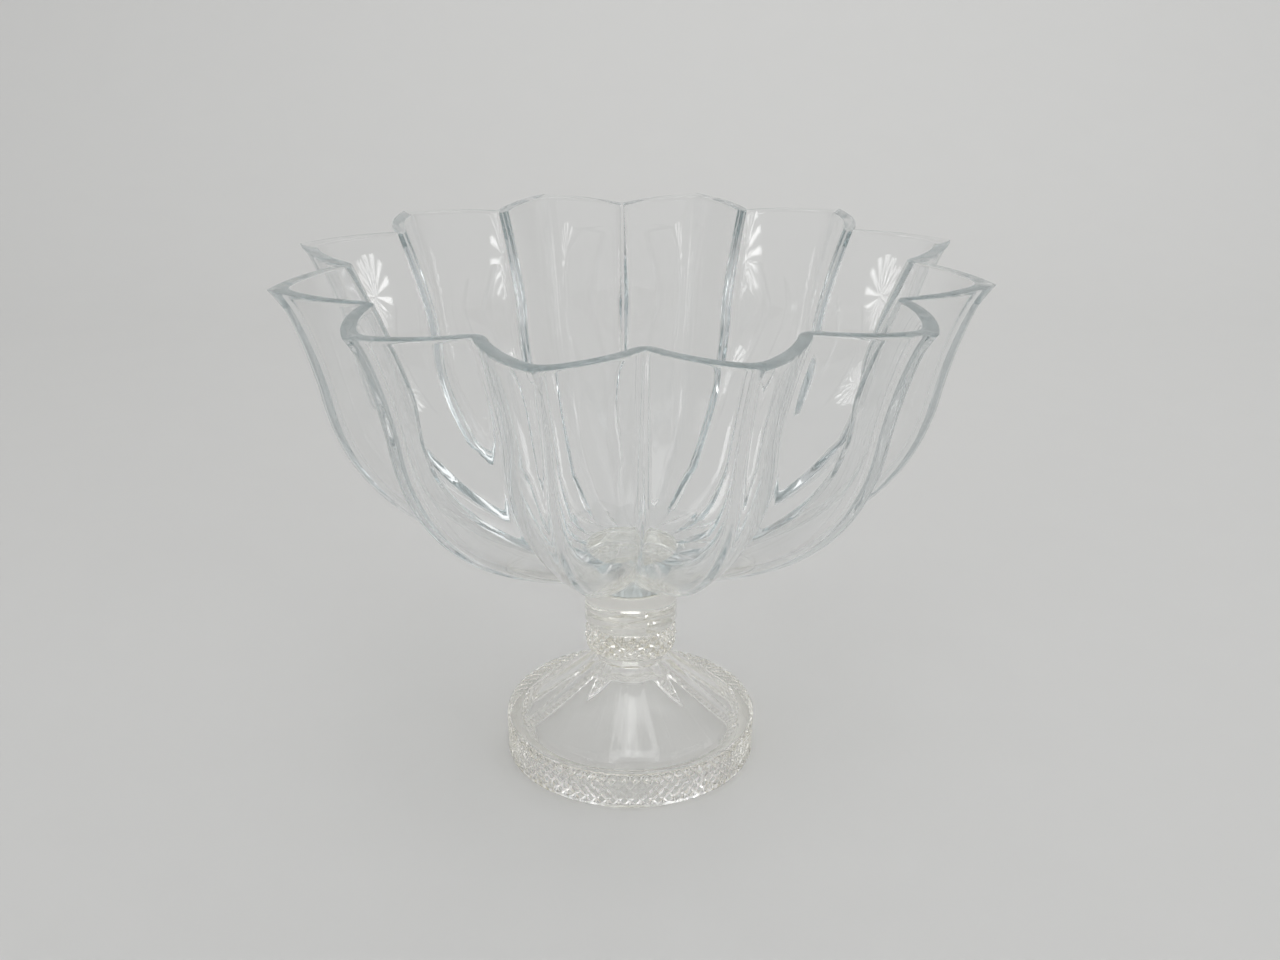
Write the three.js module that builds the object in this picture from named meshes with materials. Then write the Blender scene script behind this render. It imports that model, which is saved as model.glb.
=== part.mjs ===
// Footed bowl of clear glass: a pressed bowl of pointed petals, bonded to a smooth collar
// on a pressed pedestal foot with a diamond knop, a fluted cone and a diamond skirt.
// Millimetres, +Z up. The origin is on the table at the centre of the foot, and a notch of the bowl faces -Y.
import * as THREE from 'three';

// Skirt of the foot
const SKIRT_RADIUS = 58.6;
const SKIRT_HEIGHT = 19;
const SKIRT_WALL = 7;
const SKIRT_PLAIN_BAND = 1.8;
const SKIRT_EDGE_ROUND = 0.8;
const SKIRT_DIAMONDS = 72;
const SKIRT_DIAMOND_ROWS = 3;
const SKIRT_DIAMOND_DEPTH = 1.1;

// Fluted cone of the foot, hollow from below
const CONE_HEIGHT = 29;
const CONE_SLOPE = 37;
const CONE_WALL = 6;
const FLUTES = 12;
const FLUTE_DEPTH = 1.2;
const NECK_RADIUS = 16.5;
const NECK_FLARE = 9.5;
const HOLLOW_CROWN_HEIGHT = 2.4;

// Knop on top of the cone
const KNOP_RADIUS = 21.6;
const KNOP_TOP_RADIUS = 20.2;
const KNOP_BOTTOM_RADIUS = 17.5;
const KNOP_HEIGHT = 16.5;
const KNOP_WIDEST_HEIGHT = 8.5;
const KNOP_PLAIN_TOP = 0.6;
const KNOP_TOP_ROUND = 0.9;
const KNOP_PLAIN_BOTTOM = 4.8;
const KNOP_NECK_HEIGHT = 1.5;
const KNOP_DIAMONDS = 24;
const KNOP_DIAMOND_ROWS = 2;
const KNOP_DIAMOND_DEPTH = 1.1;

// Smooth collar between the knop and the bowl
const COLLAR_RADIUS = 21.4;
const COLLAR_HEIGHT = 20;
const COLLAR_LOWER_ROUND = 2;
const COLLAR_UPPER_ROUND = 0.8;

// Clear bonding film between the collar and the bowl
const FILM_THICKNESS = 0.3;
const FILM_SETBACK = 0.4;

// Petal bowl: heights are above the underside of its pad
const PETALS = 12;
const BOWL_HEIGHT = 148.1;
const PAD_RADIUS = 20.5;
const PAD_HEIGHT = 4.3;
const WAIST_HEIGHT = 100.5;
const RIM_TIP_RADIUS = 151;
const RIM_NOTCH_RADIUS = 122.5;
const WAIST_TIP_RADIUS = 133.9;
const WAIST_NOTCH_RADIUS = 106;
const BOWL_WALL = 5;
const FLOOR_THICKNESS = 19;

// Bowl side view: angles from level in degrees, and how far each curve keeps to its end directions
const RIDGE_ANGLES = { base: 18.5, waist: 79.8, rim: 44.8 };
const VALLEY_ANGLES = { base: 30.2, waist: 87.6, rim: 63.9 };
const BELLY_FULLNESS = 0.38;
const LIP_FULLNESS = 0.205;
// Outward bow of a petal's side in plan, as a share of the side's length
const PETAL_SIDE_BOW = 0.075;

// Mesh steps
const PETAL_SIDE_STEPS = 4;
const BELLY_STEPS = 10;
const LIP_STEPS = 4;
const CONE_STEPS = 6;
const FLUTE_STEPS = 6;
const ROUND_SIDES = 48;
const ROUND_STEPS = 3;

// Heights of the stack, from the table up
const NECK_Z = SKIRT_HEIGHT + CONE_HEIGHT;
const FOOT_TOP_Z = NECK_Z + KNOP_NECK_HEIGHT + KNOP_HEIGHT;
const COLLAR_TOP_Z = FOOT_TOP_Z + COLLAR_HEIGHT;
const BOWL_Z = COLLAR_TOP_Z + FILM_THICKNESS;

const radians = THREE.MathUtils.degToRad;

// A ring of points about +Z. place(i) gives the radius and height of point i,
// and its angle where the points aren't evenly spaced.
function ring(count, place) {
  const points = [];
  for (let i = 0; i < count; i += 1) {
    const { r, z, angle = (2 * Math.PI * i) / count } = place(i);
    points.push({ x: r * Math.cos(angle), y: r * Math.sin(angle), z, angle });
  }
  return points;
}

function roundRing(r, z, count = ROUND_SIDES) {
  return ring(count, () => ({ r, z }));
}

// Triangles between two rings of the same count. crossed(i) picks the other diagonal of a cell.
function joinEven(a, b, crossed, triangles) {
  const count = a.length;
  for (let i = 0; i < count; i += 1) {
    const j = (i + 1) % count;
    if (crossed(i)) {
      triangles.push([a[i], a[j], b[i]], [a[j], b[j], b[i]]);
    } else {
      triangles.push([a[i], a[j], b[j]], [a[i], b[j], b[i]]);
    }
  }
}

// Triangles between two rings of different counts: the ring that lags in angle steps on.
function joinUneven(a, b, triangles) {
  let i = 0;
  let j = 0;
  while (i < a.length || j < b.length) {
    const nextA = (i + 1) / a.length;
    const nextB = (j + 1) / b.length;
    const here = a[i % a.length];
    const there = b[j % b.length];
    if (i < a.length && (j === b.length || nextA <= nextB)) {
      triangles.push([here, a[(i + 1) % a.length], there]);
      i += 1;
    } else {
      triangles.push([here, b[(j + 1) % b.length], there]);
      j += 1;
    }
  }
}

// A closed body from rings that follow its section from one point on the axis round to another.
function ringBody(startZ, rings, endZ) {
  const triangles = [];
  const start = { x: 0, y: 0, z: startZ };
  const end = { x: 0, y: 0, z: endZ };
  const first = rings[0];
  const last = rings[rings.length - 1];
  first.forEach((p, i) => triangles.push([start, first[(i + 1) % first.length], p]));
  for (let k = 1; k < rings.length; k += 1) {
    const a = rings[k - 1];
    const b = rings[k];
    if (a.length === b.length) {
      joinEven(a, b, b.crossed ?? (() => false), triangles);
    } else {
      joinUneven(a, b, triangles);
    }
  }
  last.forEach((p, i) => triangles.push([p, last[(i + 1) % last.length], end]));

  const index = new Map();
  const positions = [];
  const number = (p) => {
    if (!index.has(p)) {
      index.set(p, positions.length / 3);
      positions.push(p.x, p.y, p.z);
    }
    return index.get(p);
  };
  const indices = triangles.flat().map(number);
  const geometry = new THREE.BufferGeometry();
  geometry.setAttribute('position', new THREE.Float32BufferAttribute(positions, 3));
  geometry.setIndex(indices);
  geometry.computeVertexNormals();
  return geometry;
}

// Rings of a band of diamond points: grooves cross at the low points and each diamond peaks in its middle.
function diamondBand(diamonds, rows, depth, radiusAt, bottomZ, topZ) {
  const columns = 2 * diamonds;
  const steps = 2 * rows;
  const rings = [];
  for (let row = 0; row <= steps; row += 1) {
    const z = THREE.MathUtils.lerp(bottomZ, topZ, row / steps);
    const isLow = (i) => (i + row) % 2 === 0;
    const band = ring(columns, (i) => ({ r: radiusAt(z) - (isLow(i) ? depth : 0), z }));
    // The cell below this row is split along the groove, from low point to low point
    band.crossed = (i) => isLow(i);
    rings.push(band);
  }
  return rings;
}

function pedestalFoot() {
  const skirtInner = SKIRT_RADIUS - SKIRT_WALL;
  const shoulder = new THREE.Vector2(skirtInner, SKIRT_HEIGHT);
  const neck = new THREE.Vector2(NECK_RADIUS, NECK_Z);
  const bendRadius = NECK_RADIUS + NECK_FLARE;
  const bendRise = (skirtInner - bendRadius) * Math.tan(radians(CONE_SLOPE));
  const bend = new THREE.Vector2(bendRadius, SKIRT_HEIGHT + bendRise);
  const cone = new THREE.QuadraticBezierCurve(shoulder, bend, neck);
  const rings = [];

  // Hollow below: a roof that follows the cone a wall below it, then the inner face of the skirt
  const roofDrop = CONE_WALL / Math.cos(radians(CONE_SLOPE));
  const crownZ = NECK_Z - roofDrop + HOLLOW_CROWN_HEIGHT;
  for (let step = CONE_STEPS; step >= 0; step -= 1) {
    const point = cone.getPoint(step / CONE_STEPS);
    rings.push(roundRing(point.x, point.y - roofDrop));
  }
  rings.push(roundRing(skirtInner, 0));

  // Skirt: resting edge, diamonds, rounded shoulder
  const skirtColumns = 2 * SKIRT_DIAMONDS;
  const latticeTop = SKIRT_HEIGHT - SKIRT_PLAIN_BAND;
  rings.push(roundRing(SKIRT_RADIUS - SKIRT_EDGE_ROUND, 0, skirtColumns));
  rings.push(roundRing(SKIRT_RADIUS, SKIRT_EDGE_ROUND, skirtColumns));
  rings.push(...diamondBand(
    SKIRT_DIAMONDS, SKIRT_DIAMOND_ROWS, SKIRT_DIAMOND_DEPTH, () => SKIRT_RADIUS, SKIRT_PLAIN_BAND, latticeTop,
  ));
  rings.push(roundRing(SKIRT_RADIUS, SKIRT_HEIGHT - SKIRT_EDGE_ROUND, skirtColumns));
  rings.push(roundRing(SKIRT_RADIUS - SKIRT_EDGE_ROUND, SKIRT_HEIGHT, skirtColumns));

  // Cone: shallow flutes that fade out at the shoulder and at the neck
  const coneColumns = FLUTES * FLUTE_STEPS;
  for (let step = 0; step <= CONE_STEPS; step += 1) {
    const along = step / CONE_STEPS;
    const point = cone.getPoint(along);
    const depth = FLUTE_DEPTH * Math.sin(Math.PI * along);
    rings.push(ring(coneColumns, (i) => {
      const across = (((i + FLUTE_STEPS / 2) % FLUTE_STEPS) / FLUTE_STEPS) * 2 - 1;
      return { r: point.x, z: point.y - depth * (1 - across * across) };
    }));
  }

  // Knop: plain below, a barrel of diamonds above, flat on top
  const knopBottom = NECK_Z + KNOP_NECK_HEIGHT;
  const widestZ = knopBottom + KNOP_WIDEST_HEIGHT;
  const barrel = (z) => {
    const above = z > widestZ;
    const reach = above ? FOOT_TOP_Z - widestZ : widestZ - knopBottom;
    const loss = KNOP_RADIUS - (above ? KNOP_TOP_RADIUS : KNOP_BOTTOM_RADIUS);
    return KNOP_RADIUS - loss * ((z - widestZ) / reach) ** 2;
  };
  const latticeBottom = knopBottom + KNOP_PLAIN_BOTTOM;
  for (let step = 0; step < ROUND_STEPS; step += 1) {
    const z = THREE.MathUtils.lerp(knopBottom, latticeBottom, step / ROUND_STEPS);
    rings.push(roundRing(barrel(z), z));
  }
  rings.push(...diamondBand(
    KNOP_DIAMONDS,
    KNOP_DIAMOND_ROWS,
    KNOP_DIAMOND_DEPTH,
    barrel,
    latticeBottom,
    FOOT_TOP_Z - KNOP_PLAIN_TOP,
  ));
  rings.push(roundRing(KNOP_TOP_RADIUS - KNOP_TOP_ROUND, FOOT_TOP_Z));
  return ringBody(crownZ, rings, FOOT_TOP_Z);
}

// Ring radii and heights round a quarter-round edge, from its first face to its second
function quarterRound(radius, edgeZ, round, up) {
  const rings = [];
  for (let step = 0; step <= ROUND_STEPS; step += 1) {
    const turn = (step / ROUND_STEPS) * (Math.PI / 2);
    const out = up ? Math.cos(turn) : Math.sin(turn);
    const rise = up ? Math.sin(turn) - 1 : 1 - Math.cos(turn);
    rings.push(roundRing(radius - round + round * out, edgeZ + round * rise));
  }
  return rings;
}

function stemCollar() {
  const rings = [
    ...quarterRound(COLLAR_RADIUS, FOOT_TOP_Z, COLLAR_LOWER_ROUND, false),
    ...quarterRound(COLLAR_RADIUS, COLLAR_TOP_Z, COLLAR_UPPER_ROUND, true),
  ];
  return ringBody(FOOT_TOP_Z, rings, COLLAR_TOP_Z);
}

function adhesiveFilm() {
  const radius = Math.min(PAD_RADIUS, COLLAR_RADIUS - COLLAR_UPPER_ROUND) - FILM_SETBACK;
  const rings = [roundRing(radius, COLLAR_TOP_Z), roundRing(radius, BOWL_Z)];
  return ringBody(COLLAR_TOP_Z, rings, BOWL_Z);
}

// Side view of the wall along a ridge or a valley, set inwards by inset:
// a belly up to the waist, then a flared lip.
function wallCurve(rimRadius, waistRadius, angles, inset) {
  const heading = (degrees) => new THREE.Vector2(Math.cos(radians(degrees)), Math.sin(radians(degrees)));
  const inward = (degrees) => new THREE.Vector2(-Math.sin(radians(degrees)), Math.cos(radians(degrees)));
  const base = new THREE.Vector2(PAD_RADIUS, PAD_HEIGHT).addScaledVector(inward(angles.base), inset);
  const waist = new THREE.Vector2(waistRadius, WAIST_HEIGHT).addScaledVector(inward(angles.waist), inset);
  const rim = new THREE.Vector2(rimRadius - inset / Math.sin(radians(angles.rim)), BOWL_HEIGHT);
  const bellyPull = BELLY_FULLNESS * base.distanceTo(waist);
  const lipPull = LIP_FULLNESS * waist.distanceTo(rim);
  const belly = new THREE.CubicBezierCurve(
    base,
    base.clone().addScaledVector(heading(angles.base), bellyPull),
    waist.clone().addScaledVector(heading(angles.waist), -bellyPull),
    waist,
  );
  const lip = new THREE.CubicBezierCurve(
    waist,
    waist.clone().addScaledVector(heading(angles.waist), lipPull),
    rim.clone().addScaledVector(heading(angles.rim), -lipPull),
    rim,
  );
  return [...belly.getPoints(BELLY_STEPS), ...lip.getPoints(LIP_STEPS).slice(1)];
}

// One ring of petals between a ridge point and a valley point, with each side bowed outwards.
function petalRing(ridge, valley) {
  const half = Math.PI / PETALS;
  const notch = new THREE.Vector2(valley.x * Math.cos(half), valley.x * Math.sin(half));
  const side = new THREE.Vector2(notch.x - ridge.x, notch.y);
  const outward = new THREE.Vector2(side.y, -side.x);
  const steps = 2 * PETAL_SIDE_STEPS;
  return ring(PETALS * steps, (i) => {
    const petal = Math.floor(i / steps);
    const place = (i % steps) - PETAL_SIDE_STEPS;
    const along = Math.abs(place) / PETAL_SIDE_STEPS;
    const bow = 4 * PETAL_SIDE_BOW * along * (1 - along);
    const x = ridge.x + side.x * along + outward.x * bow;
    const y = Math.sign(place) * (side.y * along + outward.y * bow);
    const middle = (2 * petal + 1) * half - Math.PI / 2;
    return {
      r: Math.hypot(x, y),
      z: BOWL_Z + THREE.MathUtils.lerp(ridge.y, valley.y, along),
      angle: middle + Math.atan2(y, x),
    };
  });
}

// How much longer the wall measures along the line from the axis through a tip or a notch
function mitres() {
  const half = Math.PI / PETALS;
  const run = RIM_NOTCH_RADIUS * Math.sin(half);
  const fall = RIM_TIP_RADIUS - RIM_NOTCH_RADIUS * Math.cos(half);
  const chord = Math.atan2(fall, run);
  const bow = Math.atan(4 * PETAL_SIDE_BOW);
  return {
    tip: 1 / Math.cos(chord - bow),
    notch: 1 / Math.cos(chord + bow - half),
  };
}

function petalBowl() {
  const mitre = mitres();
  const wall = (inset) => {
    const ridge = wallCurve(RIM_TIP_RADIUS, WAIST_TIP_RADIUS, RIDGE_ANGLES, inset * mitre.tip);
    const valley = wallCurve(RIM_NOTCH_RADIUS, WAIST_NOTCH_RADIUS, VALLEY_ANGLES, inset * mitre.notch);
    return ridge.map((point, i) => petalRing(point, valley[i]));
  };
  const outside = wall(0);
  const inside = wall(BOWL_WALL).reverse();
  // The inside ends in a flat floor: what would lie deeper is raised to it
  const floorZ = BOWL_Z + FLOOR_THICKNESS;
  inside.flat().forEach((point) => {
    point.z = Math.max(point.z, floorZ);
  });
  const columns = outside[0].length;
  const pad = ring(columns, (i) => ({ r: PAD_RADIUS, z: BOWL_Z, angle: outside[0][i].angle }));
  return ringBody(BOWL_Z, [pad, ...outside, ...inside], floorZ);
}

function piece(name, geometry, colour, roughness) {
  const material = new THREE.MeshStandardMaterial({ color: colour, roughness, metalness: 0 });
  const mesh = new THREE.Mesh(geometry, material);
  mesh.name = name;
  return mesh;
}

const footedBowl = new THREE.Group();
footedBowl.name = 'footed_bowl';
footedBowl.add(piece('pedestal_foot', pedestalFoot(), 0xe6e4dc, 0.08));
footedBowl.add(piece('stem_collar', stemCollar(), 0xe8e6de, 0.05));
footedBowl.add(piece('adhesive_film', adhesiveFilm(), 0xf0efe8, 0.2));
footedBowl.add(piece('petal_bowl', petalBowl(), 0xd8e2e8, 0.04));

export default footedBowl;
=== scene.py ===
import math

import bmesh
import bpy
from mathutils import Matrix, Vector
from mathutils.geometry import interpolate_bezier


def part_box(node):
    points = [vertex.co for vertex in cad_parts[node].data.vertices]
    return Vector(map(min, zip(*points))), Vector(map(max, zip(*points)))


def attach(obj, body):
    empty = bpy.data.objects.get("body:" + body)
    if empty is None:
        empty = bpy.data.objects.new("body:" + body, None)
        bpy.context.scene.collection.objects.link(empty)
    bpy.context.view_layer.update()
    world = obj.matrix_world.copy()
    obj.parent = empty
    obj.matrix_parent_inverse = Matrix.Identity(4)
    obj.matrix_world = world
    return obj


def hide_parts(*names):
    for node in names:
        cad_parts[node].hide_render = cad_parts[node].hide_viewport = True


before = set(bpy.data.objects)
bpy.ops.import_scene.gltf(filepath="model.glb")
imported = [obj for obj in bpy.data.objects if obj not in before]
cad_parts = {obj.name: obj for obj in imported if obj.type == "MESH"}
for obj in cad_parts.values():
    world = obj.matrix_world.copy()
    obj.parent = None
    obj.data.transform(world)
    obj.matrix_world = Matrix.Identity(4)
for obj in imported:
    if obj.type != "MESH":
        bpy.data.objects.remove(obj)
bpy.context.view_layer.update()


# Pedestal foot
# One pressing of clear glass with a faint warm tint. A hollow skirt of flat-topped diamonds carries a cone of
# twelve shallow flutes and a barrel-shaped knop of diamond points. Fire polishing softens every edge.
_, foot_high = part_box("pedestal_foot")
closeness = 1e-5
grid_closeness = 0.01
skirt_radius = foot_high.x
skirt_height = 0.019
skirt_wall = 0.007
skirt_edge = 0.0008
skirt_plain_band = 0.0018
skirt_diamonds = 72
skirt_diamond_rows = 3
skirt_groove_depth = 0.001
skirt_groove_half_width = 0.0008
cone_height = 0.029
cone_slope = math.radians(37)
cone_wall = 0.006
cone_rings = 24
neck_radius = 0.0165
neck_flare = 0.0095
flutes = 12
flute_depth = 0.0017
flute_softness = 0.35
flute_end = 0.003
crown_height = 0.006
crown_rings = 8
pole_radius = 0.001
knop_radius = 0.0216
knop_top_radius = 0.0202
knop_bottom_radius = 0.0175
knop_height = 0.0165
knop_widest = 0.0085
knop_plain_top = 0.0006
knop_plain_bottom = 0.0048
knop_plain_rings = 6
knop_top_round = 0.0015
knop_diamonds = 24
knop_diamond_rows = 2
knop_diamond_depth = 0.0014
foot_polish = 0.00025
polish_steps = 3
polish_angle = math.radians(25)
foot_facet_angle = math.radians(35)
warm_tint = (0.86, 0.83, 0.69)
warm_density = 6
foot_ripples = (150, 150, 150)
foot_ripple_depth = 0.00003
foot_haze = 0.03
glass_ior = 1.52
ripple_detail = 2
haze_start = 0.5
haze_full = 0.8

skirt_inner = skirt_radius - skirt_wall
neck_z = skirt_height + cone_height
knop_bottom = foot_high.z - knop_height
bend_radius = neck_radius + neck_flare
bend_z = skirt_height + (skirt_inner - bend_radius) * math.tan(cone_slope)


def cone_point(along):
    """Radius and height on the cone's side, from its shoulder on the skirt to its neck under the knop."""
    shoulder = Vector((skirt_inner, skirt_height))
    bend = Vector((bend_radius, bend_z))
    neck = Vector((neck_radius, neck_z))
    return shoulder.lerp(bend, along).lerp(bend.lerp(neck, along), along)


def knop_side(height):
    """Radius of the knop's barrel at a height."""
    widest = knop_bottom + knop_widest
    if height > widest:
        reach = foot_high.z - widest
        loss = knop_radius - knop_top_radius
    else:
        reach = knop_widest
        loss = knop_radius - knop_bottom_radius
    return knop_radius - loss * ((height - widest) / reach) ** 2


def select_verts(test):
    """Selects the points of the mesh in edit mode that pass a test, and the edges and faces between them."""
    bpy.ops.mesh.select_all(action="DESELECT")
    mesh = bmesh.from_edit_mesh(bpy.context.object.data)
    for vert in mesh.verts:
        vert.select_set(test(vert))
    mesh.select_flush_mode()
    bmesh.update_edit_mesh(bpy.context.object.data)


def start_ring(count, radius, height):
    """Adds a ring to the mesh in edit mode, and returns its radius and height."""
    bpy.ops.mesh.select_all(action="DESELECT")
    bpy.ops.mesh.primitive_circle_add(vertices=count, radius=radius, location=(0, 0, height))
    return radius, height


def carry_ring(ring, radius, height):
    """Extrudes the selected ring to a new radius and height, and returns them."""
    old_radius, old_height = ring
    bpy.ops.mesh.extrude_region_move(TRANSFORM_OT_translate={"value": (0, 0, height - old_height)})
    growth = radius / old_radius
    bpy.ops.transform.resize(value=(growth, growth, 1), center_override=(0, 0, height))
    return radius, height


def close_ring(ring):
    """Closes the selected ring with a small round of triangles at its middle."""
    carry_ring(ring, pole_radius, ring[1])
    bpy.ops.mesh.merge(type="CENTER")


def face_outwards():
    """Turns the faces of the closed mesh in edit mode outwards and leaves edit mode."""
    bpy.ops.mesh.select_all(action="SELECT")
    bpy.ops.mesh.normals_make_consistent(inside=False)
    bpy.ops.object.mode_set(mode="OBJECT")


def crossing_test(diamonds, rows, bottom, top, parity):
    """A test for the points of a band that lie on every other crossing of its rows and columns."""
    row_height = (top - bottom) / (2 * rows)
    column_angle = math.pi / diamonds

    def is_crossing(vert):
        row = (vert.co.z - bottom) / row_height
        column = math.atan2(vert.co.y, vert.co.x) / column_angle
        off_grid = max(abs(row - round(row)), abs(column - round(column)))
        in_band = bottom - closeness < vert.co.z < top + closeness
        return off_grid < grid_closeness and in_band and (round(row) + round(column)) % 2 == parity

    return is_crossing


def sink(test, depth, radius):
    """Moves the points that pass a test inwards by a depth."""
    select_verts(test)
    share = 1 - depth / radius
    bpy.ops.transform.resize(value=(share, share, 1), center_override=(0, 0, 0))


bpy.ops.object.select_all(action="DESELECT")
bpy.ops.mesh.primitive_circle_add(vertices=2 * skirt_diamonds, radius=skirt_radius - skirt_edge)
foot = bpy.context.object
foot.name = "foot_pressing"
bpy.ops.object.mode_set(mode="EDIT")
bpy.ops.mesh.select_mode(type="VERT")

# Outside of the skirt, from its resting edge up to its flat shoulder
ring = carry_ring((skirt_radius - skirt_edge, 0), skirt_radius, skirt_edge)
skirt_band_top = skirt_height - skirt_plain_band
for row in range(2 * skirt_diamond_rows + 1):
    rise = row / (2 * skirt_diamond_rows)
    ring = carry_ring(ring, skirt_radius, skirt_plain_band + rise * (skirt_band_top - skirt_plain_band))
ring = carry_ring(ring, skirt_radius, skirt_height - skirt_edge)
ring = carry_ring(ring, skirt_radius - skirt_edge, skirt_height)
for step in range(cone_rings + 1):
    ring = carry_ring(ring, *cone_point(step / cone_rings))

# Flutes: shallow hollows that widen downwards, with slightly softened ridges between them
mesh = bmesh.from_edit_mesh(foot.data)
for vert in mesh.verts:
    out = vert.co.xy.length
    if vert.co.z > skirt_height - closeness and out < skirt_inner + closeness:
        turn = math.atan2(vert.co.y, vert.co.x) * flutes / (2 * math.pi)
        across = 2 * (turn - round(turn))
        panel = 1 - across**2
        wave = (1 + math.cos(math.pi * across)) / 2
        hollow = panel + flute_softness * (wave - panel)
        fade = min((skirt_inner - out) / flute_end, 1)
        vert.co.z -= flute_depth * fade * hollow * out / skirt_inner
bmesh.update_edit_mesh(foot.data)

# Skirt diamonds: flat-topped, parted by two sets of slanting grooves that cross
skirt_band = (skirt_diamonds, skirt_diamond_rows, skirt_plain_band, skirt_band_top)
in_groove = crossing_test(*skirt_band, 0)
in_diamond = crossing_test(*skirt_band, 1)
select_verts(in_groove)
bpy.ops.mesh.vert_connect()
inner_low = skirt_plain_band + closeness
inner_high = skirt_band_top - closeness
select_verts(lambda vert: in_diamond(vert) and inner_low < vert.co.z < inner_high)
bpy.ops.mesh.dissolve_verts()
select_verts(
    lambda vert: vert.co.xy.length > skirt_radius - closeness
    and skirt_plain_band - closeness < vert.co.z < skirt_band_top + closeness
)
bpy.ops.mesh.inset(thickness=skirt_groove_half_width, use_individual=True)
sink(in_groove, skirt_groove_depth, skirt_radius)

# Knop: a short undercut, a band of diamonds, an eased upper edge and a flat top
knop_band_bottom = knop_bottom + knop_plain_bottom
knop_band_top = foot_high.z - knop_plain_top
ring = start_ring(2 * knop_diamonds, knop_side(knop_bottom), knop_bottom)
for step in range(1, knop_plain_rings):
    height = knop_bottom + knop_plain_bottom * step / knop_plain_rings
    ring = carry_ring(ring, knop_side(height), height)
for row in range(2 * knop_diamond_rows + 1):
    height = knop_band_bottom + (knop_band_top - knop_band_bottom) * row / (2 * knop_diamond_rows)
    ring = carry_ring(ring, knop_side(height), height)
ring = carry_ring(ring, knop_top_radius - knop_top_round, foot_high.z)
close_ring(ring)
sink(
    crossing_test(knop_diamonds, knop_diamond_rows, knop_band_bottom, knop_band_top, 0),
    knop_diamond_depth,
    knop_radius,
)
bpy.ops.mesh.vert_connect()
select_verts(lambda vert: vert.is_boundary and vert.co.z > skirt_height)
bpy.ops.mesh.bridge_edge_loops()

# Hollow: inner face of the skirt, roof that follows the cone a wall below it, and a round crown
select_verts(lambda vert: vert.is_boundary)
ring = carry_ring((skirt_radius - skirt_edge, 0), skirt_inner, 0)
roof_drop = cone_wall / math.cos(cone_slope)
for step in range(cone_rings + 1):
    radius, height = cone_point(step / cone_rings)
    ring = carry_ring(ring, radius, height - roof_drop)
for step in range(1, crown_rings):
    share = 1 - step / crown_rings
    height = neck_z - roof_drop + crown_height * (1 - share**2)
    ring = carry_ring(ring, neck_radius * share, height)
close_ring(ring)
face_outwards()


def apply_modifier(piece, kind, **settings):
    """Adds a modifier with these settings to a piece and applies it."""
    modifier = piece.modifiers.new(kind.title(), kind)
    for name, value in settings.items():
        setattr(modifier, name, value)
    bpy.context.view_layer.objects.active = piece
    bpy.ops.object.modifier_apply(modifier=modifier.name)


# Polish: every sharp edge is eased, and flat faces keep their flat shading beside the eased edges
apply_modifier(
    foot,
    "BEVEL",
    width=foot_polish,
    segments=polish_steps,
    limit_method="ANGLE",
    angle_limit=polish_angle,
)
bpy.ops.object.shade_smooth_by_angle(angle=foot_facet_angle)
apply_modifier(foot, "WEIGHTED_NORMAL", keep_sharp=True)


def clear_glass(name, tint, density, ripples, ripple_depth, haze):
    """Clear glass: its tint builds up with the length of glass that light crosses. Ripples per metre along
    x, y and z wave the surface a little, and the same ripples carry patches of very slight haze."""
    glass = bpy.data.materials.new(name)
    glass.use_nodes = True
    nodes = glass.node_tree.nodes
    links = glass.node_tree.links
    shader = nodes["Principled BSDF"]
    shader.inputs["Base Color"].default_value = (1, 1, 1, 1)
    shader.inputs["Transmission Weight"].default_value = 1
    shader.inputs["IOR"].default_value = glass_ior

    absorption = nodes.new("ShaderNodeVolumeAbsorption")
    absorption.inputs["Color"].default_value = (*tint, 1)
    absorption.inputs["Density"].default_value = density
    links.new(absorption.outputs["Volume"], nodes["Material Output"].inputs["Volume"])

    place = nodes.new("ShaderNodeTexCoord")
    stretch = nodes.new("ShaderNodeMapping")
    stretch.inputs["Scale"].default_value = ripples
    ripple = nodes.new("ShaderNodeTexNoise")
    ripple.inputs["Scale"].default_value = 1
    ripple.inputs["Detail"].default_value = ripple_detail
    links.new(place.outputs["Object"], stretch.inputs["Vector"])
    links.new(stretch.outputs["Vector"], ripple.inputs["Vector"])

    wave = nodes.new("ShaderNodeBump")
    wave.inputs["Strength"].default_value = 1
    wave.inputs["Distance"].default_value = ripple_depth
    links.new(ripple.outputs["Fac"], wave.inputs["Height"])
    links.new(wave.outputs["Normal"], shader.inputs["Normal"])

    hazing = nodes.new("ShaderNodeMapRange")
    hazing.inputs["From Min"].default_value = haze_start
    hazing.inputs["From Max"].default_value = haze_full
    hazing.inputs["To Min"].default_value = 0
    hazing.inputs["To Max"].default_value = haze
    links.new(ripple.outputs["Fac"], hazing.inputs["Value"])
    links.new(hazing.outputs["Result"], shader.inputs["Roughness"])
    return glass


foot_glass = clear_glass(
    "warm foot glass", warm_tint, warm_density, foot_ripples, foot_ripple_depth, foot_haze
)
foot.data.materials.append(foot_glass)
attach(foot, "root")
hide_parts("pedestal_foot")


# Stem collar
# A smooth drum of the same warm clear glass, cast by itself and laid between the knop and the bowl.
# Its lower edge is well rounded and its upper edge only polished. It is fused to the knop.
collar_low, collar_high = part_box("stem_collar")
collar_sides = 96
collar_lower_round = 0.002
collar_lower_steps = 14
collar_upper_round = 0.0008
collar_upper_steps = 4
collar_smooth_angle = math.radians(30)
contact_sink = 0.00005
collar_ripples = (90, 90, 45)
collar_ripple_depth = 0.00004
collar_haze = 0.02
collar_radius = collar_high.x
collar_bottom = collar_low.z - contact_sink


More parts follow.
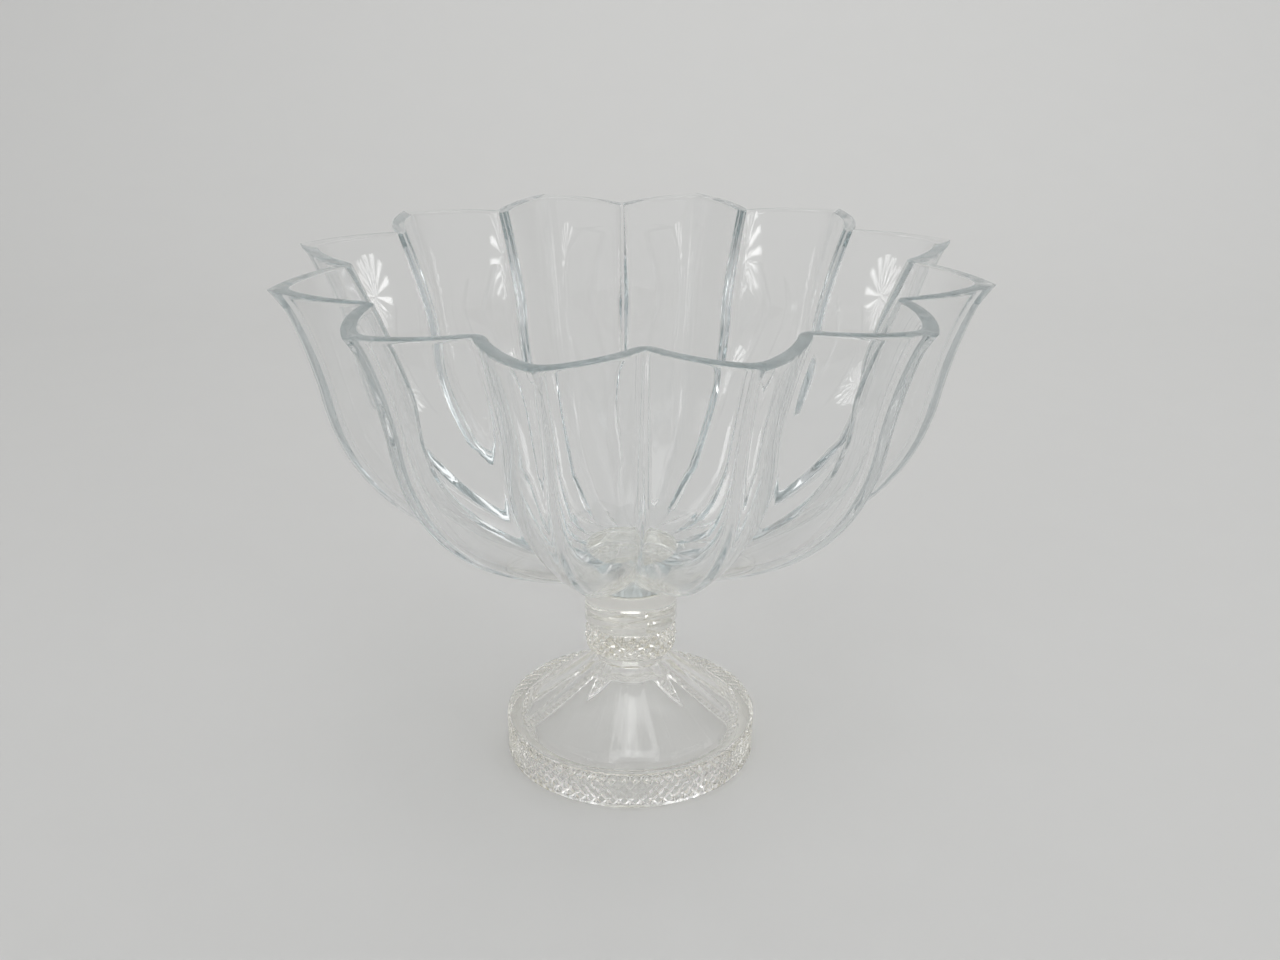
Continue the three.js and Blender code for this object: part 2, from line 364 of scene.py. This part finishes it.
def start_disc(name, radius, height):
    """Starts a turned piece from the disc at its bottom, and returns the piece and its edge ring."""
    bpy.ops.object.select_all(action="DESELECT")
    bpy.ops.mesh.primitive_circle_add(vertices=collar_sides, radius=pole_radius)
    piece = bpy.context.object
    piece.name = name
    bpy.ops.object.mode_set(mode="EDIT")
    bpy.ops.transform.translate(value=(0, 0, height))
    ring = carry_ring((pole_radius, height), radius, height)
    return piece, ring


def close_disc():
    """Closes the small hole in the middle of a turned piece's bottom."""
    select_verts(lambda vert: vert.is_boundary)
    bpy.ops.mesh.merge(type="CENTER")


def bevel_ring(height, width, steps):
    """Rounds the outer edge of a turned piece at this height."""
    select_verts(lambda vert: abs(vert.co.z - height) < closeness and vert.co.xy.length > 2 * pole_radius)
    bpy.ops.mesh.bevel(offset=width, segments=steps, affect="EDGES")


collar, ring = start_disc("collar_drum", collar_radius, collar_bottom)
ring = carry_ring(ring, collar_radius, collar_high.z)
close_ring(ring)
close_disc()
bevel_ring(collar_bottom, collar_lower_round, collar_lower_steps)
bevel_ring(collar_high.z, collar_upper_round, collar_upper_steps)
face_outwards()
bpy.ops.object.shade_smooth_by_angle(angle=collar_smooth_angle)
apply_modifier(collar, "WEIGHTED_NORMAL", keep_sharp=True)

collar_glass = clear_glass(
    "warm collar glass", warm_tint, warm_density, collar_ripples, collar_ripple_depth, collar_haze
)
collar.data.materials.append(collar_glass)
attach(collar, "root")
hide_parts("stem_collar")


# Adhesive film
# A thin layer of clear cured adhesive that bonds the bowl's pad to the collar.
# It was pressed out between the two faces, so its edge draws in as a shallow groove.
film_low, film_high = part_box("adhesive_film")
film_radius = film_high.x
film_draw_in = 0.0003
film_tint = (0.9, 0.88, 0.8)
film_density = 12
film_ripples = (400, 400, 400)
film_ripple_depth = 0.00001
film_haze = 0.05
film_bottom = film_low.z - contact_sink
film_top = film_high.z + contact_sink

film, ring = start_disc("bond_film", film_radius, film_bottom)
ring = carry_ring(ring, film_radius - film_draw_in, (film_bottom + film_top) / 2)
ring = carry_ring(ring, film_radius, film_top)
close_ring(ring)
close_disc()
face_outwards()
bpy.ops.object.shade_smooth_by_angle(angle=collar_smooth_angle)

film_clear = clear_glass(
    "clear adhesive", film_tint, film_density, film_ripples, film_ripple_depth, film_haze
)
film.data.materials.append(film_clear)
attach(film, "root")
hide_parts("adhesive_film")


# Petal bowl
# One pressing of clear glass with a cool tint: twelve petals that swell from a small pad, draw in at a waist
# and flare to points. The mould gives the sharp outer folds, the plunger the smoother inside, and the rim is
# ground flat.
bowl_low, bowl_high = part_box("petal_bowl")
petals = 12
half_petal = math.pi / petals
rim_z = bowl_high.z
bowl_height = rim_z - bowl_low.z
pad_radius = 0.0205
pad_height = 0.0043
waist_height = 0.1005
rim_tip_radius = 0.151
rim_notch_radius = 0.1225
waist_tip_radius = 0.1339
waist_notch_radius = 0.106
bowl_wall = 0.005
floor_thickness = 0.019
ridge_angles = (18.5, 79.8, 44.8)
valley_angles = (30.2, 87.6, 63.9)
belly_fullness = 0.38
lip_fullness = 0.205
side_bow = 0.075
ridge_round = 0.05
valley_round = 0.006
inner_ridge_round = 0.15
inner_valley_round = 0.03
tip_sharp_height = 0.004
tip_fade_height = 0.004
least_round = 1e-4
cut_closeness = 1e-6
side_columns = 24
belly_rows = 40
lip_rows = 18
spare_rows = 4
spare_height = 0.008
inside_ripple_depth = 0.00008
inside_ripple_size = 0.016
rim_polish = 0.0003
rim_polish_steps = 2
bowl_facet_angle = math.radians(30)
floor_ring_shares = (0.7, 0.4)
cool_tint = (0.44, 0.53, 0.545)
cool_density = 6.5
bowl_ripples = (90, 90, 12)
bowl_ripple_depth = 0.00002
bowl_haze = 0.015


def heading(degrees):
    """A direction in the bowl's side view, by its angle above level."""
    angle = math.radians(degrees)
    return Vector((math.cos(angle), math.sin(angle), 0))


def wall_line(rim_radius, waist_radius, angles):
    """Radii and heights up the wall along a fold: belly, flared lip, and a little to spare above the rim."""
    base_angle, waist_angle, rim_angle = angles
    base = Vector((pad_radius, pad_height, 0))
    waist = Vector((waist_radius, waist_height, 0))
    rim = Vector((rim_radius, bowl_height, 0))
    belly_pull = belly_fullness * (waist - base).length
    lip_pull = lip_fullness * (rim - waist).length
    belly = interpolate_bezier(
        base,
        base + belly_pull * heading(base_angle),
        waist - belly_pull * heading(waist_angle),
        waist,
        belly_rows + 1,
    )
    lip = interpolate_bezier(
        waist,
        waist + lip_pull * heading(waist_angle),
        rim - lip_pull * heading(rim_angle),
        rim,
        lip_rows + 1,
    )
    spare_length = spare_height / math.sin(math.radians(rim_angle))
    spare = [
        rim + heading(rim_angle) * spare_length * step / spare_rows
        for step in range(1, spare_rows + 1)
    ]
    return belly + lip[1:] + spare


def rounded(share, softness):
    """A share that starts from a rounded corner instead of a sharp one."""
    return share + softness * math.log1p(math.exp(-2 * share / softness))


def petal_point(along, ridge, valley, tip_round, notch_round):
    """A point on half a petal, from ridge to valley, with the side bowed out and both ends rounded."""
    out = Vector((math.cos(half_petal), math.sin(half_petal)))
    tip = Vector((ridge.x, 0))
    side = valley.x * out - tip
    outward = Vector((side.y, -side.x))

    def bowed(share):
        return tip + side * share + outward * 4 * side_bow * share * (1 - share)

    spot = bowed(along)
    near_tip = bowed(rounded(along, tip_round))
    near_notch = bowed(1 - rounded(1 - along, notch_round))
    flat = spot + Vector((near_tip.x - spot.x, 0)) + out * (near_notch - spot).dot(out)
    height = ridge.y + (valley.y - ridge.y) * along
    return Vector((flat.x, flat.y, bowl_low.z + height))


ridge_line = wall_line(rim_tip_radius, waist_tip_radius, ridge_angles)
valley_line = wall_line(rim_notch_radius, waist_notch_radius, valley_angles)
rows = len(ridge_line) - 1


def petal_sheet(name, tip_rounds, notch_round):
    """All the petals as one open sheet that faces outwards, from one half petal mirrored and copied round."""
    bpy.ops.object.select_all(action="DESELECT")
    bpy.ops.mesh.primitive_grid_add(x_subdivisions=side_columns, y_subdivisions=rows, size=2)
    sheet = bpy.context.object
    sheet.name = name
    for vert in sheet.data.vertices:
        along = (1 - math.cos(math.pi * (vert.co.x + 1) / 2)) / 2
        row = round((vert.co.y + 1) / 2 * rows)
        vert.co = petal_point(along, ridge_line[row], valley_line[row], tip_rounds[row], notch_round)
    apply_modifier(sheet, "MIRROR", use_axis=(False, True, False), merge_threshold=closeness)
    bpy.ops.object.mode_set(mode="EDIT")
    bpy.ops.mesh.select_all(action="SELECT")
    bpy.ops.mesh.spin(
        steps=petals - 1,
        dupli=True,
        angle=2 * math.pi * (petals - 1) / petals,
        center=(0, 0, 0),
        axis=(0, 0, 1),
    )
    bpy.ops.mesh.select_all(action="SELECT")
    bpy.ops.mesh.remove_doubles(threshold=closeness)
    bpy.ops.mesh.normals_make_consistent(inside=True)
    bpy.ops.object.mode_set(mode="OBJECT")
    sheet.data.transform(Matrix.Rotation(half_petal - math.pi / 2, 4, "Z"))
    return sheet


# Outside: ridges rounded by the mould, but sharp where they were ground to points at the rim
outer_tip_rounds = []
for point in ridge_line:
    below_sharp = bowl_height - tip_sharp_height - point.y
    fade = min(max(below_sharp / tip_fade_height, 0), 1)
    outer_tip_rounds.append(max(ridge_round * fade, least_round))
bowl = petal_sheet("bowl_pressing", outer_tip_rounds, valley_round)

# Inside: a rounder sheet, set in by the wall, with a flat floor and the slight ripples of pressed glass
inside = petal_sheet("bowl_inside", [inner_ridge_round] * len(ridge_line), inner_valley_round)
bpy.ops.object.mode_set(mode="EDIT")
bpy.ops.mesh.select_all(action="SELECT")
bpy.ops.transform.shrink_fatten(value=-bowl_wall, use_even_offset=True)
bpy.ops.mesh.flip_normals()
floor_z = bowl_low.z + floor_thickness
bpy.ops.mesh.bisect(plane_co=(0, 0, floor_z), plane_no=(0, 0, 1), clear_inner=True, threshold=cut_closeness)
bpy.ops.object.mode_set(mode="OBJECT")
ripples = bpy.data.textures.new("inside ripples", "CLOUDS")
ripples.noise_scale = inside_ripple_size
apply_modifier(inside, "DISPLACE", texture=ripples, strength=inside_ripple_depth, texture_coords="LOCAL")
bpy.ops.object.select_all(action="DESELECT")
inside.select_set(True)
bowl.select_set(True)
bpy.context.view_layer.objects.active = bowl
bpy.ops.object.join()

# Rim: both walls cut level and joined by the flat ground edge
bpy.ops.object.mode_set(mode="EDIT")
bpy.ops.mesh.select_all(action="SELECT")
bpy.ops.mesh.bisect(plane_co=(0, 0, rim_z), plane_no=(0, 0, 1), clear_outer=True, threshold=cut_closeness)
select_verts(lambda vert: vert.is_boundary and vert.co.z > rim_z - closeness)
bpy.ops.mesh.bridge_edge_loops()

# Floor: the inner wall closes over the pad, with a crisp edge where the end of the plunger met its side
select_verts(lambda vert: vert.is_boundary and vert.co.z > bowl_low.z + 2 * pad_height)
bpy.ops.mesh.mark_sharp()
for share in floor_ring_shares:
    bpy.ops.mesh.extrude_region_move()
    bpy.ops.transform.resize(value=(share, share, 0), center_override=(0, 0, floor_z))
bpy.ops.mesh.merge(type="CENTER")

# Pad: a short round foot under the bowl
select_verts(lambda vert: vert.is_boundary)
bpy.ops.mesh.extrude_region_move()
bpy.ops.transform.resize(value=(1, 1, 0), center_override=(0, 0, bowl_low.z))
bpy.ops.mesh.extrude_region_move()
pole_share = pole_radius / pad_radius
bpy.ops.transform.resize(value=(pole_share, pole_share, 1), center_override=(0, 0, 0))
bpy.ops.mesh.merge(type="CENTER")
face_outwards()

# Rim polish: the corners of the ground edge are eased
bpy.ops.object.mode_set(mode="EDIT")
bpy.ops.mesh.select_all(action="DESELECT")
bpy.ops.mesh.select_mode(type="EDGE")
mesh = bmesh.from_edit_mesh(bowl.data)
for edge in mesh.edges:
    if min(vert.co.z for vert in edge.verts) > rim_z - closeness:
        edge.select_set(edge.calc_face_angle() > bowl_facet_angle)
bmesh.update_edit_mesh(bowl.data)
bpy.ops.mesh.bevel(offset=rim_polish, segments=rim_polish_steps, affect="EDGES")
bpy.ops.mesh.select_mode(type="VERT")
bpy.ops.object.mode_set(mode="OBJECT")
bpy.ops.object.shade_smooth_by_angle(angle=bowl_facet_angle)

bowl_glass = clear_glass(
    "cool bowl glass", cool_tint, cool_density, bowl_ripples, bowl_ripple_depth, bowl_haze
)
bowl.data.materials.append(bowl_glass)
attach(bowl, "root")
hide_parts("petal_bowl")


# Table and light
# A wide pale sheet that lies under the bowl and rises in a sweep behind it, in a pale room.
# Two umbrella lamps stand to the front at the left and right, one lamp hangs above and one lights the sweep.
sheet_half_width = 6
sheet_front = -6
sweep_start = 0.7
sweep_radius = 0.9
sweep_steps = 24
sheet_top = 3.5
sheet_gap = 0.00006
sheet_dark = (0.648, 0.648, 0.639, 1)
sheet_light = (0.660, 0.660, 0.651, 1)
sheet_roughness = 0.9
sheet_shine = 0.1
mottle_scale = 25
mottle_detail = 3
room_colour = (0.64, 0.64, 0.64, 1)
bowl_middle = (0, 0, 0.15)
left_umbrella_place = (-1.1, -1.1, 0.55)
left_umbrella_power = 3.3
right_umbrella_place = (1.1, -1.1, 0.55)
right_umbrella_power = 3.9
umbrella_width = 0.7
umbrella_ribs = 14
umbrella_middle = (0.5, 0.5, 0)
rib_wave_low = -0.1
rib_wave_high = 0.9
rib_dark = 0.05
rib_light = 1.5
ceiling_lamp_place = (0, -0.5, 1.9)
ceiling_lamp_width = 0.75
ceiling_lamp_power = 4.5
sweep_lamp_place = (0.4, 0.8, 1.5)
sweep_lamp_target = (0.3, 1.2, 0.3)
sweep_lamp_width = 1.6
sweep_lamp_power = 6.5

bpy.ops.object.select_all(action="DESELECT")
bpy.ops.mesh.primitive_plane_add(size=2)
backdrop = bpy.context.object
backdrop.name = "pale_sheet"
bpy.ops.object.mode_set(mode="EDIT")
mesh = bmesh.from_edit_mesh(backdrop.data)
for vert in mesh.verts:
    vert.co.x *= sheet_half_width
    vert.co.y = sheet_front if vert.co.y < 0 else sweep_start
    vert.co.z = -sheet_gap
bmesh.update_edit_mesh(backdrop.data)
select_verts(lambda vert: vert.co.y > sweep_start - closeness)
sweep_step = math.pi / 2 / sweep_steps
for step in range(sweep_steps):
    bpy.ops.mesh.extrude_region_move()
    bpy.ops.transform.rotate(
        value=-sweep_step,
        orient_axis="X",
        center_override=(0, sweep_start, sweep_radius - sheet_gap),
    )
bpy.ops.mesh.extrude_region_move(TRANSFORM_OT_translate={"value": (0, 0, sheet_top)})
bpy.ops.object.mode_set(mode="OBJECT")
bpy.ops.object.shade_smooth()

sheet_paint = bpy.data.materials.new("pale sheet paint")
sheet_paint.use_nodes = True
nodes = sheet_paint.node_tree.nodes
links = sheet_paint.node_tree.links
paint = nodes["Principled BSDF"]
paint.inputs["Roughness"].default_value = sheet_roughness
paint.inputs["Specular IOR Level"].default_value = sheet_shine
place = nodes.new("ShaderNodeTexCoord")
mottle = nodes.new("ShaderNodeTexNoise")
mottle.inputs["Scale"].default_value = mottle_scale
mottle.inputs["Detail"].default_value = mottle_detail
shades = nodes.new("ShaderNodeValToRGB")
shades.color_ramp.elements[0].color = sheet_dark
shades.color_ramp.elements[1].color = sheet_light
links.new(place.outputs["Object"], mottle.inputs["Vector"])
links.new(mottle.outputs["Fac"], shades.inputs["Fac"])
links.new(shades.outputs["Color"], paint.inputs["Base Color"])
backdrop.data.materials.append(sheet_paint)

room = bpy.data.worlds.new("pale room")
bpy.context.scene.world = room
room.use_nodes = True
sky = room.node_tree.nodes["Background"]
sky.inputs["Color"].default_value = room_colour
sky.inputs["Strength"].default_value = 1


def soft_lamp(name, shape, place, target, width, power):
    """A soft area lamp at a place, aimed at a target."""
    bpy.ops.object.light_add(type="AREA", location=place)
    lamp = bpy.context.object
    lamp.name = name
    lamp.data.shape = shape
    lamp.data.size = width
    lamp.data.energy = power
    lamp.rotation_euler = (Vector(target) - Vector(place)).to_track_quat("-Z", "Y").to_euler()
    return lamp


def add_ribs(lamp):
    """Gives an umbrella lamp its ribs: light folds of cloth that run out from the middle."""
    lamp.data.use_nodes = True
    nodes = lamp.data.node_tree.nodes
    links = lamp.data.node_tree.links
    surface = nodes.new("ShaderNodeNewGeometry")
    centre = nodes.new("ShaderNodeVectorMath")
    centre.operation = "SUBTRACT"
    centre.inputs[1].default_value = umbrella_middle
    round_about = nodes.new("ShaderNodeTexGradient")
    round_about.gradient_type = "RADIAL"
    folds = nodes.new("ShaderNodeMath")
    folds.operation = "MULTIPLY"
    folds.inputs[1].default_value = 2 * math.pi * umbrella_ribs
    fold = nodes.new("ShaderNodeMath")
    fold.operation = "SINE"
    brightness = nodes.new("ShaderNodeMapRange")
    brightness.inputs["From Min"].default_value = rib_wave_low
    brightness.inputs["From Max"].default_value = rib_wave_high
    brightness.inputs["To Min"].default_value = rib_dark
    brightness.inputs["To Max"].default_value = rib_light
    links.new(surface.outputs["Parametric"], centre.inputs[0])
    links.new(centre.outputs["Vector"], round_about.inputs["Vector"])
    links.new(round_about.outputs["Fac"], folds.inputs[0])
    links.new(folds.outputs["Value"], fold.inputs[0])
    links.new(fold.outputs["Value"], brightness.inputs["Value"])
    links.new(brightness.outputs["Result"], nodes["Emission"].inputs["Strength"])


left_lamp = soft_lamp(
    "left_umbrella", "DISK", left_umbrella_place, bowl_middle, umbrella_width, left_umbrella_power
)
add_ribs(left_lamp)
right_lamp = soft_lamp(
    "right_umbrella", "DISK", right_umbrella_place, bowl_middle, umbrella_width, right_umbrella_power
)
add_ribs(right_lamp)
soft_lamp("ceiling_lamp", "SQUARE", ceiling_lamp_place, bowl_middle, ceiling_lamp_width, ceiling_lamp_power)
soft_lamp("sweep_lamp", "SQUARE", sweep_lamp_place, sweep_lamp_target, sweep_lamp_width, sweep_lamp_power)


# Camera
# Looks down at the bowl from the front, a little to the left of the front notch. Light may cross the glass
# many times before it leaves, so the number of bounces is high.
lens_pixels = 1478
image_width = 1280
camera_distance = 0.6136
camera_height = 0.3885
camera_aside = 0.004
camera_pitch = math.radians(22.443)
camera_roll = math.radians(0.29)
bowl_turn = math.radians(2.67)
sensor_width = 36
light_bounces = 96
camera_data = bpy.data.cameras.new("camera")
camera = bpy.data.objects.new("camera", camera_data)
bpy.context.scene.collection.objects.link(camera)
camera_data.sensor_width = sensor_width
camera_data.lens = sensor_width * lens_pixels / image_width
turn = Matrix.Rotation(-bowl_turn, 4, "Z")
tilt = Matrix.Rotation(math.pi / 2 - camera_pitch, 4, "X")
roll = Matrix.Rotation(camera_roll, 4, "Z")
place = Matrix.Translation((camera_aside, -camera_distance, camera_height))
camera.matrix_world = turn @ place @ tilt @ roll
bpy.context.scene.camera = camera
bpy.context.scene.view_settings.view_transform = "Standard"
bpy.context.scene.cycles.max_bounces = light_bounces
bpy.context.scene.cycles.transmission_bounces = light_bounces
bpy.context.scene.cycles.glossy_bounces = light_bounces
bpy.context.scene.cycles.blur_glossy = 0
